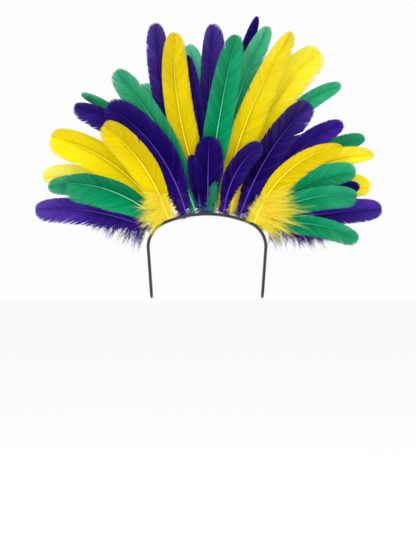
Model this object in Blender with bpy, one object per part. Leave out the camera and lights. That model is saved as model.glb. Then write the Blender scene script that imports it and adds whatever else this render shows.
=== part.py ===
"""A feathered headband: a padded band that arches over the head, with a fan of dyed feathers on its crown.

+X is to the right seen from behind the wearer, +Y is the way the wearer faces and +Z is up. The origin is the
inside of the band at its top. All lengths are in metres and all angles in degrees.
"""

import math
from collections import namedtuple

import bpy
import numpy as np

# The band: a wide crown arc, a tighter shoulder arc on each side, and a straight leg that ends behind the ear
CROWN_RADIUS = 0.150
CROWN_TURN = 23.5
SHOULDER_RADIUS = 0.034
LEG_TURN = 94.0
LEG_LENGTH = 0.070
BAND_WIDTH = 0.024
BAND_THICKNESS = 0.004
BAND_CORNER = 0.0012
END_ROUNDING = 0.010

# The feathers
LONGEST_FEATHER = 0.285
BROADEST_HALF_VANE = 0.028
SEAT_SPAN = 0.072
SEAT_GAP = 0.0003
BARE_QUILL = 0.007
QUILL_WIDTH = 0.0022
QUILL_DEPTH = 0.0014
VANE_EDGE = 0.0004
TIP_HALF_WIDTH = 0.0009
DOWN_REACH = 0.034
DOWN_PUFF = 0.006

# The fan: the feathers lie in layers, the first one farthest forward. They are a step apart at the band, and a
# further tip step apart at the height of the longest feather.
LAYERS = 11
LAYER_STEP = 0.00175
LAYER_TIP_STEP = 0.0077
DISH_DEPTH = 0.026
FAN_CENTRE_Z = -0.060
FAN_RADIUS = 0.070

# The form of one vane, in shares
BASE_SHARE = 0.30
SWELL_END = 0.40
BARB_SLANT = 0.85
TIP_SLANT = 0.40
BEND_POWER = 1.25
QUILL_TAPER = 0.72
QUILL_RIDGE = 0.5
QUILL_FLANK = 0.4
CAMBER = 0.28
TWIST = 0.18
BARE_END = 0.8
SPLIT_HALF = 0.018
SPLIT_KEEPS = 0.58
VANE_STATIONS = (0.22, 0.34, 0.48, 0.62, 0.76, 0.87, 0.95, 1.0)

# The locks of down at the foot of a vane: place along the vane, reach, and slant towards the tip
Lock = namedtuple("Lock", "along reach slant")
LOCKS = (
    Lock(0.000, 0.30, -0.10),
    Lock(0.015, 0.20, -0.20),
    Lock(0.035, 1.00, -0.25),
    Lock(0.055, 0.40, -0.05),
    Lock(0.080, 0.90, 0.20),
    Lock(0.105, 0.32, 0.40),
    Lock(0.135, 0.65, 0.55),
)

# One row for each feather. Seat is a share of SEAT_SPAN along the band from its middle, lean is the direction
# from root to tip, clockwise from straight up, and bend is how far the feather turns between them. Reach is a
# share of LONGEST_FEATHER, left and right are shares of BROADEST_HALF_VANE looking from root to tip, and the
# two columns of down are shares of DOWN_REACH. A higher blunt is a blunter tip, and layer 0 is the farthest
# forward. A split is a share of the vane, and 0 is none.
Feather = namedtuple(
    "Feather",
    "name dye seat lean bend reach left right blunt layer down_left down_right split_left split_right",
)
FEATHERS = (
    Feather("purple_left_low", "purple", -1.08, -80.5, -29, 0.592, 0.80, 0.60, 6, 1, 0.05, 0.10, 0.40, 0.0),
    Feather("green_left_back", "green", -0.92, -72.5, -52, 0.57, 0.55, 0.60, 6, 5, 0.20, 0.10, 0.0, 0.62),
    Feather("green_left_front", "green", -0.88, -68, -42, 0.495, 1.02, 0.60, 7, 7, 0.20, 0.10, 0.60, 0.0),
    Feather("yellow_left_low", "yellow", -0.85, -70, -46, 0.64, 0.50, 0.75, 6, 0, 0.15, 0.10, 0.0, 0.0),
    Feather("yellow_left_wide", "yellow", -0.81, -54, -46, 0.695, 0.96, 0.70, 9, 3, 0.20, 0.15, 0.66, 0.0),
    Feather("yellow_left_front", "yellow", -0.74, -35, -38, 0.545, 0.80, 0.70, 6, 10, 1.10, 0.45, 0.0, 0.60),
    Feather("purple_left_back", "purple", -0.46, -44.8, -60, 0.755, 0.85, 0.40, 7, 4, 0.15, 0.10, 0.86, 0.0),
    Feather("purple_left_front", "purple", -0.39, -36.5, -46, 0.645, 0.92, 0.85, 6, 8, 0.10, 0.10, 0.72, 0.0),
    Feather("green_left_tiny", "green", -0.43, -40.5, -50, 0.787, 0.30, 0.28, 9, 2, 0.10, 0.10, 0.0, 0.0),
    Feather("green_left_tall", "green", -0.21, -29.6, -24, 0.79, 0.78, 0.62, 7, 6, 0.15, 0.10, 0.0, 0.80),
    Feather("green_left_small", "green", -0.25, -21, -9, 0.69, 0.66, 0.55, 7, 1, 0.10, 0.10, 0.0, 0.0),
    Feather("purple_top_left", "purple", -0.08, -14, 22, 0.95, 0.62, 0.60, 9, 4, 0.10, 0.10, 0.86, 0.0),
    Feather("yellow_top_left", "yellow", 0.05, -11.2, 26, 0.89, 0.68, 0.76, 6, 5, 0.15, 0.10, 0.0, 0.88),
    Feather("green_top_small", "green", 0.04, -7, -18, 0.845, 0.68, 0.62, 7, 0, 0.10, 0.10, 0.0, 0.0),
    Feather("purple_top_inner", "purple", -0.06, -6, -8, 0.78, 0.48, 0.48, 4, 3, 0.10, 0.10, 0.0, 0.0),
    Feather("purple_centre_left", "purple", -0.12, -9.5, -10, 0.285, 0.42, 0.42, 3, 7, 0.15, 0.10, 0.0, 0.0),
    Feather("purple_centre_short", "purple", 0.02, 1, 4, 0.365, 0.80, 0.80, 3, 10, 0.10, 0.10, 0.0, 0.0),
    Feather("purple_centre_right", "purple", 0.31, 29, 48, 0.38, 0.55, 0.55, 5, 9, 0.15, 0.15, 0.0, 0.0),
    Feather("purple_mid_right", "purple", 0.38, 17, 14, 0.54, 0.50, 0.50, 4, 0, 0.10, 0.10, 0.0, 0.0),
    Feather("purple_top_mid", "purple", 0.03, 1.0, 3, 0.93, 0.50, 0.80, 8, 2, 0.10, 0.10, 0.0, 0.0),
    Feather("green_top_mid", "green", 0.00, 9.5, 8, 0.86, 0.70, 0.72, 6, 8, 0.30, 0.30, 0.90, 0.0),
    Feather("purple_top_tip", "purple", 0.10, 13, 12, 1.0, 0.38, 0.38, 6, 1, 0.10, 0.10, 0.0, 0.0),
    Feather("green_top_right", "green", 0.14, 16.3, 22, 0.945, 0.60, 0.60, 7, 4, 0.10, 0.10, 0.0, 0.82),
    Feather("yellow_top_right", "yellow", 0.24, 21.5, 20, 0.945, 0.60, 0.95, 3.5, 5, 0.15, 0.15, 0.60, 0.90),
    Feather("yellow_right_high", "yellow", 0.44, 28.6, 40, 0.915, 0.86, 0.98, 9, 3, 0.15, 0.20, 0.0, 0.84),
    Feather("green_right_high", "green", 0.53, 39, 54, 0.84, 0.48, 0.48, 8, 1, 0.10, 0.10, 0.0, 0.0),
    Feather("purple_right_front", "purple", 0.62, 32, 28, 0.65, 0.72, 0.76, 7, 6, 0.15, 0.15, 0.0, 0.70),
    Feather("purple_right_back", "purple", 0.72, 46, 38, 0.68, 0.62, 0.60, 6, 2, 0.10, 0.10, 0.0, 0.0),
    Feather("green_right_small", "green", 0.79, 55.0, 36, 0.715, 0.62, 0.45, 6, 0, 0.10, 0.10, 0.0, 0.0),
    Feather("yellow_right_front", "yellow", 0.91, 49.5, 64, 0.555, 0.48, 0.74, 3.5, 10, 0.45, 1.30, 0.0, 0.55),
    Feather("yellow_right_back", "yellow", 0.83, 62.5, 52, 0.685, 0.72, 0.46, 4, 4, 0.10, 0.15, 0.0, 0.0),
    Feather("green_right_mid", "green", 0.88, 64.5, 40, 0.56, 0.68, 0.55, 7, 5, 0.15, 0.15, 0.0, 0.0),
    Feather("purple_right_small", "purple", 0.86, 72.5, 28, 0.56, 0.50, 0.45, 6, 3, 0.10, 0.10, 0.0, 0.0),
    Feather("yellow_right_small", "yellow", 0.89, 74.0, 50, 0.605, 0.72, 0.58, 8, 1, 0.10, 0.10, 0.0, 0.0),
    Feather("green_right_low", "green", 0.93, 75.5, 44, 0.51, 0.50, 0.72, 7, 7, 0.15, 0.15, 0.0, 0.45),
    Feather("purple_right_low", "purple", 0.96, 83, 8, 0.625, 0.64, 0.66, 7, 2, 0.15, 0.15, 0.0, 0.0),
    Feather("green_right_bottom", "green", 0.99, 98.5, 38, 0.49, 0.42, 0.62, 7, 8, 0.15, 0.20, 0.0, 0.0),
    Feather("purple_right_bottom", "purple", 0.97, 92.0, 4, 0.35, 0.50, 0.50, 4, 0, 0.15, 0.00, 0.0, 0.0),
)

# Colour, roughness and metallic value of each finish
Finish = namedtuple("Finish", "colour roughness metallic")
FINISHES = {
    "yellow": Finish((0.93, 0.75, 0.01), 0.65, 0.0),
    "green": Finish((0.01, 0.33, 0.13), 0.65, 0.0),
    "purple": Finish((0.03, 0.01, 0.20), 0.60, 0.0),
    "band": Finish((0.02, 0.02, 0.02), 0.85, 0.0),
}


def band_point(along):
    """The band's inner line at a length along it from its middle: x, z and how far it has turned, in radians."""
    side = 1.0 if along >= 0 else -1.0
    length = abs(along)
    crown_turn = math.radians(CROWN_TURN)
    leg_turn = math.radians(LEG_TURN)
    crown_length = CROWN_RADIUS * crown_turn
    shoulder_length = SHOULDER_RADIUS * (leg_turn - crown_turn)
    shoulder_x = (CROWN_RADIUS - SHOULDER_RADIUS) * math.sin(crown_turn)
    shoulder_z = (CROWN_RADIUS - SHOULDER_RADIUS) * math.cos(crown_turn) - CROWN_RADIUS
    if length <= crown_length:
        turn = length / CROWN_RADIUS
        x = CROWN_RADIUS * math.sin(turn)
        z = CROWN_RADIUS * (math.cos(turn) - 1)
        return side * x, z, side * turn
    past = length - crown_length
    turn = crown_turn + min(past, shoulder_length) / SHOULDER_RADIUS
    x = shoulder_x + SHOULDER_RADIUS * math.sin(turn)
    z = shoulder_z + SHOULDER_RADIUS * math.cos(turn)
    leg = max(past - shoulder_length, 0.0)
    return side * (x + leg * math.cos(turn)), z - leg * math.sin(turn), side * turn


def seat(row):
    """Where a feather's root meets the band: x and z on its outer face, and the face's direction in radians."""
    x, z, turn = band_point(row.seat * SEAT_SPAN)
    return x + BAND_THICKNESS * math.sin(turn), z + BAND_THICKNESS * math.cos(turn), turn


def centre_line(row, samples=160):
    """The rachis from root to tip: shares of its length, places (x, z), and unit tangents.

    Its heading turns by the row's bend, a little faster towards the tip. The curve is turned and scaled so that
    the straight line from root to tip has the row's lean and reach.
    """
    shares = np.linspace(0.0, 1.0, samples)
    heading = math.radians(row.bend) * shares**BEND_POWER
    middle = (heading[1:] + heading[:-1]) / 2
    steps = np.column_stack([np.sin(middle), np.cos(middle)])
    places = np.vstack([np.zeros(2), np.cumsum(steps, axis=0)])
    swing = math.radians(row.lean) - math.atan2(places[-1, 0], places[-1, 1])
    heading = heading + swing
    turn = np.array([[math.cos(swing), -math.sin(swing)], [math.sin(swing), math.cos(swing)]])
    places = places @ turn * (row.reach * LONGEST_FEATHER / np.hypot(*places[-1]))
    seat_x, seat_z, face = seat(row)
    lift = SEAT_GAP + QUILL_WIDTH / 2 * abs(math.sin(heading[0] - face))
    root = np.array([seat_x + lift * math.sin(face), seat_z + lift * math.cos(face)])
    return shares, places + root, np.column_stack([np.sin(heading), np.cos(heading)])


def height(x, z):
    """How far a place stands out from the fan's middle, past the radius where the layers start to part."""
    return np.maximum(np.hypot(x, z - FAN_CENTRE_Z) - FAN_RADIUS, 0.0)


def layer_depth(layer, x, z):
    """The y of a layer at a place: the layers are a step apart at the band, part as they rise, and dish back."""
    rise = height(x, z)
    dish = DISH_DEPTH * (rise / LONGEST_FEATHER) ** 2
    return ((LAYERS - 1) / 2 - layer) * (LAYER_STEP + LAYER_TIP_STEP * rise / LONGEST_FEATHER) - dish


def vane_share(along, blunt):
    """A vane's share of its full half width: it swells from the base and rounds off at the tip."""
    swell = BASE_SHARE + (1 - BASE_SHARE) * np.sin(np.minimum(along / SWELL_END, 1.0) * math.pi / 2)
    return swell * np.sqrt(np.maximum(1 - along**blunt, 0.0))


def vane_stations(row):
    """Places along the vane where it has a section: at its locks of down, at even steps, and round each split."""
    splits = [s for s in (row.split_left, row.split_right) if s > 0]
    kept = [lock.along for lock in LOCKS]
    kept += [s for s in VANE_STATIONS if all(abs(s - split) > 2 * SPLIT_HALF for split in splits)]
    for split in splits:
        kept += [split - SPLIT_HALF, split, split + SPLIT_HALF]
    return np.array(sorted(kept))


def down_reach(along):
    """The reach of the locks of down at each station, as a share of DOWN_REACH, and none past the last lock."""
    return np.interp(along, [lock.along for lock in LOCKS], [lock.reach for lock in LOCKS], right=0.0)


def barb_slant(along):
    """How far a barb leans towards the tip for each metre that it stands out: down droops, a vane sweeps forward."""
    places = [*(lock.along for lock in LOCKS), VANE_STATIONS[0]]
    slants = [*(lock.slant for lock in LOCKS), BARB_SLANT]
    return np.interp(along, places, slants) + (TIP_SLANT - BARB_SLANT) * along**8


def barb_reach(row, along, width, down, split):
    """How far the vane stands out on one side at each station, with its locks of down and its split."""
    vane = width * BROADEST_HALF_VANE * vane_share(along, row.blunt)
    at_split = (split > 0) & np.isclose(along, split)
    vane = np.where(at_split, vane * SPLIT_KEEPS, vane)
    return np.maximum(vane + down * DOWN_REACH * down_reach(along), TIP_HALF_WIDTH)


def bow(row, side, along, down, x, z):
    """How far a vane's edge stands off its layer: camber and twist within the layer's room, and puffed out down.

    Down puffs out only where no layer lies outside it, on the nearest layer and on the farthest one.
    """
    twist = side * TWIST * (-1) ** row.layer
    outward = {0: 1, LAYERS - 1: -1}.get(row.layer, 0)
    puff = outward * DOWN_PUFF * down * down_reach(along)
    return LAYER_TIP_STEP * height(x, z) / LONGEST_FEATHER * (CAMBER + twist) + puff


def feather_rings(row):
    """Sections of a feather from root to tip, eight points each: across its front from left to right, then back."""
    shares, places, tangents = centre_line(row)
    bare = BARE_QUILL / np.hypot(*np.diff(places, axis=0).T).sum()
    along = np.concatenate([[0.0, 0.0], vane_stations(row)])
    share = bare + (1 - bare) * along
    share[0] = 0.0
    share[1] = bare * BARE_END
    is_quill = np.arange(len(share)) < 2
    centre = np.column_stack([np.interp(share, shares, places[:, i]) for i in (0, 1)])
    tangent = np.column_stack([np.interp(share, shares, tangents[:, i]) for i in (0, 1)])
    left_way = np.column_stack([-tangent[:, 1], tangent[:, 0]])
    taper = 1 - QUILL_TAPER * share
    ridge = QUILL_DEPTH / 2 * taper
    edge = np.where(is_quill, QUILL_FLANK * ridge, VANE_EDGE / 2)

    columns = []
    for side, width, down, split in (
        (1, row.left, row.down_left, row.split_left),
        (-1, row.right, row.down_right, row.split_right),
    ):
        reach = np.where(is_quill, QUILL_WIDTH / 2 * taper, barb_reach(row, along, width, down, split))
        slant = np.where(is_quill, 0.0, barb_slant(along))
        rim = centre + reach[:, None] * (side * left_way + slant[:, None] * tangent)
        rim_y = layer_depth(row.layer, *rim.T) + np.where(is_quill, 0.0, bow(row, side, along, down, *rim.T))
        rib = centre + side * (QUILL_RIDGE * QUILL_WIDTH / 2 * taper)[:, None] * left_way
        rib_y = layer_depth(row.layer, *rib.T)
        columns.append(((rim, rim_y, edge), (rib, rib_y, ridge)))
    (left, left_rib), (right, right_rib) = columns
    front = [section(place, y - thick) for place, y, thick in (left, left_rib, right_rib, right)]
    back = [section(place, y + thick) for place, y, thick in (right, right_rib, left_rib, left)]
    return np.stack(front + back, axis=1)


def section(place, y):
    """Points in space from their places (x, z) and their y."""
    return np.column_stack([place[:, 0], y, place[:, 1]])


def ring_faces(rings, around, mirrored):
    """Triangles between rings of points, with a cap at each end.

    On a mirrored strip the diagonal runs the other way, so that a thin vane's front and back are cut alike.
    """
    ring, column = np.meshgrid(np.arange(rings - 1), np.arange(around), indexing="ij")
    a = ring * around + column
    b = ring * around + (column + 1) % around
    c = b + around
    d = a + around
    other = np.isin(column, mirrored)
    first = np.where(other[..., None], np.stack([a, b, c], -1), np.stack([a, b, d], -1))
    second = np.where(other[..., None], np.stack([a, c, d], -1), np.stack([b, c, d], -1))
    sides = np.concatenate([first.reshape(-1, 3), second.reshape(-1, 3)])
    steps = np.arange(1, around - 1)
    last = (rings - 1) * around
    bottom = np.column_stack([np.zeros_like(steps), steps + 1, steps])
    top = last + np.column_stack([np.zeros_like(steps), steps, steps + 1])
    return np.concatenate([sides, bottom, top])


def add_object(name, rings, finish, mirrored=()):
    """One named object with one closed body, from its rings of points."""
    mesh = bpy.data.meshes.new(name)
    faces = ring_faces(len(rings), rings.shape[1], mirrored)
    mesh.from_pydata(rings.reshape(-1, 3).tolist(), [], faces.tolist())
    mesh.materials.append(finish)
    mesh.shade_smooth()
    mesh.set_sharp_from_angle(angle=math.radians(40))
    piece = bpy.data.objects.new(name, mesh)
    bpy.context.scene.collection.objects.link(piece)
    return piece


def material(name, finish):
    made = bpy.data.materials.new(name)
    made.use_nodes = True
    shader = made.node_tree.nodes["Principled BSDF"]
    shader.inputs["Base Color"].default_value = (*finish.colour, 1.0)
    shader.inputs["Roughness"].default_value = finish.roughness
    shader.inputs["Metallic"].default_value = finish.metallic
    return made


def band_rings():
    """Sections of the band from its left end to its right one, eight points each, narrowed to round ends."""
    crown_length = CROWN_RADIUS * math.radians(CROWN_TURN)
    shoulder_length = SHOULDER_RADIUS * math.radians(LEG_TURN - CROWN_TURN)
    half_length = crown_length + shoulder_length + LEG_LENGTH
    straight_end = half_length - END_ROUNDING
    half = [
        *np.linspace(0.0, crown_length, 8),
        *np.linspace(crown_length, crown_length + shoulder_length, 8)[1:],
        *np.linspace(crown_length + shoulder_length, straight_end, 4)[1:],
        *(straight_end + END_ROUNDING * np.array([0.35, 0.65, 0.87, 0.98])),
    ]
    rings = []
    for along in [*(-s for s in reversed(half[1:])), *half]:
        x, z, turn = band_point(along)
        past = max(abs(along) - straight_end, 0.0) / END_ROUNDING
        narrow = math.sqrt(1 - past**2)
        wide = BAND_WIDTH / 2 * narrow
        corner = BAND_CORNER * narrow
        section = (
            (0.0, wide - corner),
            (corner, wide),
            (BAND_THICKNESS - corner, wide),
            (BAND_THICKNESS, wide - corner),
            (BAND_THICKNESS, corner - wide),
            (BAND_THICKNESS - corner, -wide),
            (corner, -wide),
            (0.0, corner - wide),
        )
        rings.append([(x + out * math.sin(turn), y, z + out * math.cos(turn)) for out, y in section])
    return np.array(rings)


def build():
    for old in list(bpy.data.objects):
        bpy.data.objects.remove(old, do_unlink=True)
    finishes = {name: material(name, finish) for name, finish in FINISHES.items()}
    add_object("headband", band_rings(), finishes["band"])
    for row in FEATHERS:
        add_object(row.name, feather_rings(row), finishes[row.dye], mirrored=(2, 6))


build()
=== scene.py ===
"""The looks of a feathered headdress: dyed feathers built barb by barb on a padded, cloth-covered band.

Everything is in metres in the part's own frame. Seen from behind, where the camera stands, +X is to the
right, +Y is away from the camera and +Z is up. The origin is the inside of the band's top.
"""

import math
from collections import namedtuple

import bpy
import numpy as np
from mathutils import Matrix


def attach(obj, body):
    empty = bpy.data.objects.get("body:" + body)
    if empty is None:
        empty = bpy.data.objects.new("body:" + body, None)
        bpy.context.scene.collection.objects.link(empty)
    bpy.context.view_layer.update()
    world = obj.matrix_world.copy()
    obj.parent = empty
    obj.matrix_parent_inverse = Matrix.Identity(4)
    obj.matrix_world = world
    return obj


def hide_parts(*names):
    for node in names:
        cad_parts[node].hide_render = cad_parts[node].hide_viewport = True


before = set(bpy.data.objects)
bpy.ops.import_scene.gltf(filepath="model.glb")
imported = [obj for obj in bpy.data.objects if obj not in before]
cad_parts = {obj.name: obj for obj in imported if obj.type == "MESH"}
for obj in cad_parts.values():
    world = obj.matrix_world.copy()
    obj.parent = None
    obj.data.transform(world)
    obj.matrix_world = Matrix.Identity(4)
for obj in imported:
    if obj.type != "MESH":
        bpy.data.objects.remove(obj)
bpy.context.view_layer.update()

# The band, as in the part's source
CROWN_RADIUS = 0.150
CROWN_TURN = 23.5
SHOULDER_RADIUS = 0.034
LEG_TURN = 94.0
LEG_LENGTH = 0.070
BAND_WIDTH = 0.024
BAND_THICKNESS = 0.004
END_ROUNDING = 0.010

# The band's cover: its sections and the corners of one, the powers that square its sides and its faces and
# that thin it at its ends, the square of the share of its width that its ends keep, and its weave in radians
# for each metre
COVER_SECTIONS = 181
COVER_CORNERS = 28
SIDE_POWER = 0.55
FACE_POWER = 0.45
THIN_POWER = 0.3
LEAST_END = 0.0004
WEAVE = 7000

# The feathers and the fan, as in the part's source
LONGEST_FEATHER = 0.285
BROADEST_HALF_VANE = 0.028
SEAT_SPAN = 0.072
SEAT_GAP = 0.0003
BARE_QUILL = 0.007
QUILL_WIDTH = 0.0022
QUILL_DEPTH = 0.0014
DOWN_REACH = 0.034
LAYERS = 11
LAYER_STEP = 0.00175
LAYER_TIP_STEP = 0.0077
DISH_DEPTH = 0.026
FAN_CENTRE_Z = -0.060
FAN_RADIUS = 0.070
BASE_SHARE = 0.30
SWELL_END = 0.40
RIM_SLANT = 0.85
TIP_SLANT = 0.40
BEND_POWER = 1.25
CAMBER = 0.28
TWIST = 0.18
DOWN_END = 0.22

# The barbs: how far apart they end on the rim, how wide one strip is, how far its middle stands up, how far
# its edges lie before and behind it so that it overlaps the next one, how far it runs towards the tip for
# each metre that it stands out, the places along it that have a section, and how much it sags and bows
BARB_STEP = 0.00096
BARB_WIDTH = 0.00155
BARB_RIDGE = 0.00012
SHINGLE = 0.00013
BARB_SLANT = 1.35
BARB_PLACES = np.array([0.0, 0.22, 0.46, 0.70, 0.89, 1.0])
BARB_SAG = 0.18
BARB_BOW = 0.22

# Where the rachis stops, as a share of the vane, and from where on the barbs' roots are drawn in towards it
RACHIS_STOPS = 0.955
ROOTS_CROWD = 0.8

# A charted split: how far the barbs stand apart at the rim, and from which share of a barb on. Beside any
# split the barbs lean away over about this share of the vane
CHARTED_GAP = 0.0034
CHARTED_START = 0.42
SPLIT_REACH = 0.035

# The narrowest and the widest group of barbs that cling together
GROUP_WIDTHS = (0.004, 0.011)

# How the shade of a vane varies: by patches of this size, from barb to barb, and from a barb's root to its
# end
PATCH_SIZE = 0.020
PATCH_SHADE = 0.28
BARB_SHADE = 0.16
END_SHADE = 0.45

# The strands of down: their thickest radius, how many are in one lock, how many sections each has, half the
# width of a lock at the rachis, the share by which its strands draw together, and how far one strays
STRAND_RADIUS = 0.00024
LOCK_STRANDS = 5
STRAND_PLACES = 6
LOCK_HALF_WIDTH = 0.0022
DRAWN_IN = 0.6
STRAY = 0.0013

# The down at each side of a feather's foot: how many locks, its reach as a share of the half vane, and the
# most of the row's own down that is added to that, as a share of DOWN_REACH
FOOT_LOCKS = 20
FOOT_REACH = 0.35
FOOT_DOWN_MOST = 0.3

# The share of the light that passes through a barb
THROUGH = 0.25

# Painted glow: a share of their colour that down, rachis and painted-lit vanes emit, though they are no
# lamps, and how much of it a vane and a rachis have. A rachis glows at its fine end as if its shaft value
# were LEAST_SHAFT
GLOW = 0.45
VANE_GLOW = 0.35
SHAFT_GLOW = 0.8
LEAST_SHAFT = 0.5

# How pale the strands of down are at their root, and how much painted glow they have: yellow ones are the
# clearest
STRAND_PALE = {"yellow": 0.28, "green": 0.05, "purple": 0.0}
STRAND_GLOW = {"yellow": 0.35, "green": 0.10, "purple": 0.05}

# Map units for each metre, and from one strand of down to the next
MAP_SCALE = 10
STRAND_MAP_STEP = 0.01

# How far the fine grain of barbs and cloth stands up
GRAIN = 0.0002

# Each feather's random draws are seeded with this number plus its own number, and noise has this many knots
SEED = 41
KNOTS = 4096

# The camera stands level, straight behind the headdress, and one pixel is this wide at the fan's plane
IMAGE_WIDTH = 416
PIXEL = 0.0014
CAMERA_PLACE = (0.0014, -2.0, -0.0868)
SENSOR_WIDTH = 36.0

# The studio: a wide floor far below, a surround of nearly the same tone, and two soft lamps on one target
FLOOR_Z = -0.62
FLOOR_HALF_WIDTH = 30
FLOOR_TONE = (0.97, 0.97, 0.97, 1.0)
SURROUND_TONE = (1.0, 1.0, 1.0, 1.0)
SURROUND_STRENGTH = 0.98
LAMP_TARGET = (0.0, 0.0, 0.08)
Lamp = namedtuple("Lamp", "name place size power")
LAMPS = (
    Lamp("key_light", (-1.5, -2.0, 1.7), 1.4, 26.0),
    Lamp("fill_light", (1.9, -1.6, 0.5), 1.6, 8.0),
)

# One row for each feather, as in the part's source: see there for the columns
Feather = namedtuple(
    "Feather",
    "name dye seat lean bend reach left right blunt layer down_left down_right split_left split_right",
)
FEATHERS = (
    Feather("purple_left_low", "purple", -1.08, -80.5, -29, 0.592, 0.80, 0.60, 6, 1, 0.05, 0.10, 0.40, 0.0),
    Feather("green_left_back", "green", -0.92, -72.5, -52, 0.57, 0.55, 0.60, 6, 5, 0.20, 0.10, 0.0, 0.62),
    Feather("green_left_front", "green", -0.88, -68, -42, 0.495, 1.02, 0.60, 7, 7, 0.20, 0.10, 0.60, 0.0),
    Feather("yellow_left_low", "yellow", -0.85, -70, -46, 0.64, 0.50, 0.75, 6, 0, 0.15, 0.10, 0.0, 0.0),
    Feather("yellow_left_wide", "yellow", -0.81, -54, -46, 0.695, 0.96, 0.70, 9, 3, 0.20, 0.15, 0.66, 0.0),
    Feather("yellow_left_front", "yellow", -0.74, -35, -38, 0.545, 0.80, 0.70, 6, 10, 1.10, 0.45, 0.0, 0.60),
    Feather("purple_left_back", "purple", -0.46, -44.8, -60, 0.755, 0.85, 0.40, 7, 4, 0.15, 0.10, 0.86, 0.0),
    Feather("purple_left_front", "purple", -0.39, -36.5, -46, 0.645, 0.92, 0.85, 6, 8, 0.10, 0.10, 0.72, 0.0),
    Feather("green_left_tiny", "green", -0.43, -40.5, -50, 0.787, 0.30, 0.28, 9, 2, 0.10, 0.10, 0.0, 0.0),
    Feather("green_left_tall", "green", -0.21, -29.6, -24, 0.79, 0.78, 0.62, 7, 6, 0.15, 0.10, 0.0, 0.80),
    Feather("green_left_small", "green", -0.25, -21, -9, 0.69, 0.66, 0.55, 7, 1, 0.10, 0.10, 0.0, 0.0),
    Feather("purple_top_left", "purple", -0.08, -14, 22, 0.95, 0.62, 0.60, 9, 4, 0.10, 0.10, 0.86, 0.0),
    Feather("yellow_top_left", "yellow", 0.05, -11.2, 26, 0.89, 0.68, 0.76, 6, 5, 0.15, 0.10, 0.0, 0.88),
    Feather("green_top_small", "green", 0.04, -7, -18, 0.845, 0.68, 0.62, 7, 0, 0.10, 0.10, 0.0, 0.0),
    Feather("purple_top_inner", "purple", -0.06, -6, -8, 0.78, 0.48, 0.48, 4, 3, 0.10, 0.10, 0.0, 0.0),
    Feather("purple_centre_left", "purple", -0.12, -9.5, -10, 0.285, 0.42, 0.42, 3, 7, 0.15, 0.10, 0.0, 0.0),
    Feather("purple_centre_short", "purple", 0.02, 1, 4, 0.365, 0.80, 0.80, 3, 10, 0.10, 0.10, 0.0, 0.0),
    Feather("purple_centre_right", "purple", 0.31, 29, 48, 0.38, 0.55, 0.55, 5, 9, 0.15, 0.15, 0.0, 0.0),
    Feather("purple_mid_right", "purple", 0.38, 17, 14, 0.54, 0.50, 0.50, 4, 0, 0.10, 0.10, 0.0, 0.0),
    Feather("purple_top_mid", "purple", 0.03, 1.0, 3, 0.93, 0.50, 0.80, 8, 2, 0.10, 0.10, 0.0, 0.0),
    Feather("green_top_mid", "green", 0.00, 9.5, 8, 0.86, 0.70, 0.72, 6, 8, 0.30, 0.30, 0.90, 0.0),
    Feather("purple_top_tip", "purple", 0.10, 13, 12, 1.0, 0.38, 0.38, 6, 1, 0.10, 0.10, 0.0, 0.0),
    Feather("green_top_right", "green", 0.14, 16.3, 22, 0.945, 0.60, 0.60, 7, 4, 0.10, 0.10, 0.0, 0.82),
    Feather("yellow_top_right", "yellow", 0.24, 21.5, 20, 0.945, 0.60, 0.95, 3.5, 5, 0.15, 0.15, 0.60, 0.90),
    Feather("yellow_right_high", "yellow", 0.44, 28.6, 40, 0.915, 0.86, 0.98, 9, 3, 0.15, 0.20, 0.0, 0.84),
    Feather("green_right_high", "green", 0.53, 39, 54, 0.84, 0.48, 0.48, 8, 1, 0.10, 0.10, 0.0, 0.0),
    Feather("purple_right_front", "purple", 0.62, 32, 28, 0.65, 0.72, 0.76, 7, 6, 0.15, 0.15, 0.0, 0.70),
    Feather("purple_right_back", "purple", 0.72, 46, 38, 0.68, 0.62, 0.60, 6, 2, 0.10, 0.10, 0.0, 0.0),
    Feather("green_right_small", "green", 0.79, 55.0, 36, 0.715, 0.62, 0.45, 6, 0, 0.10, 0.10, 0.0, 0.0),
    Feather("yellow_right_front", "yellow", 0.91, 49.5, 64, 0.555, 0.48, 0.74, 3.5, 10, 0.45, 1.3, 0.0, 0.55),
    Feather("yellow_right_back", "yellow", 0.83, 62.5, 52, 0.685, 0.72, 0.46, 4, 4, 0.10, 0.15, 0.0, 0.0),
    Feather("green_right_mid", "green", 0.88, 64.5, 40, 0.56, 0.68, 0.55, 7, 5, 0.15, 0.15, 0.0, 0.0),
    Feather("purple_right_small", "purple", 0.86, 72.5, 28, 0.56, 0.50, 0.45, 6, 3, 0.10, 0.10, 0.0, 0.0),
    Feather("yellow_right_small", "yellow", 0.89, 74.0, 50, 0.605, 0.72, 0.58, 8, 1, 0.10, 0.10, 0.0, 0.0),
    Feather("green_right_low", "green", 0.93, 75.5, 44, 0.51, 0.50, 0.72, 7, 7, 0.15, 0.15, 0.0, 0.45),
    Feather("purple_right_low", "purple", 0.96, 83, 8, 0.625, 0.64, 0.66, 7, 2, 0.15, 0.15, 0.0, 0.0),
    Feather("green_right_bottom", "green", 0.99, 98.5, 38, 0.49, 0.42, 0.62, 7, 8, 0.15, 0.20, 0.0, 0.0),
    Feather("purple_right_bottom", "purple", 0.97, 92.0, 4, 0.35, 0.50, 0.50, 4, 0, 0.15, 0.00, 0.0, 0.0),
)

# The share of its brightness that a rachis keeps where down and shadow dull it
DULL_SHAFTS = {"green_right_mid": 0.25, "green_right_low": 0.60, "green_right_bottom": 0.35}
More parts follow.
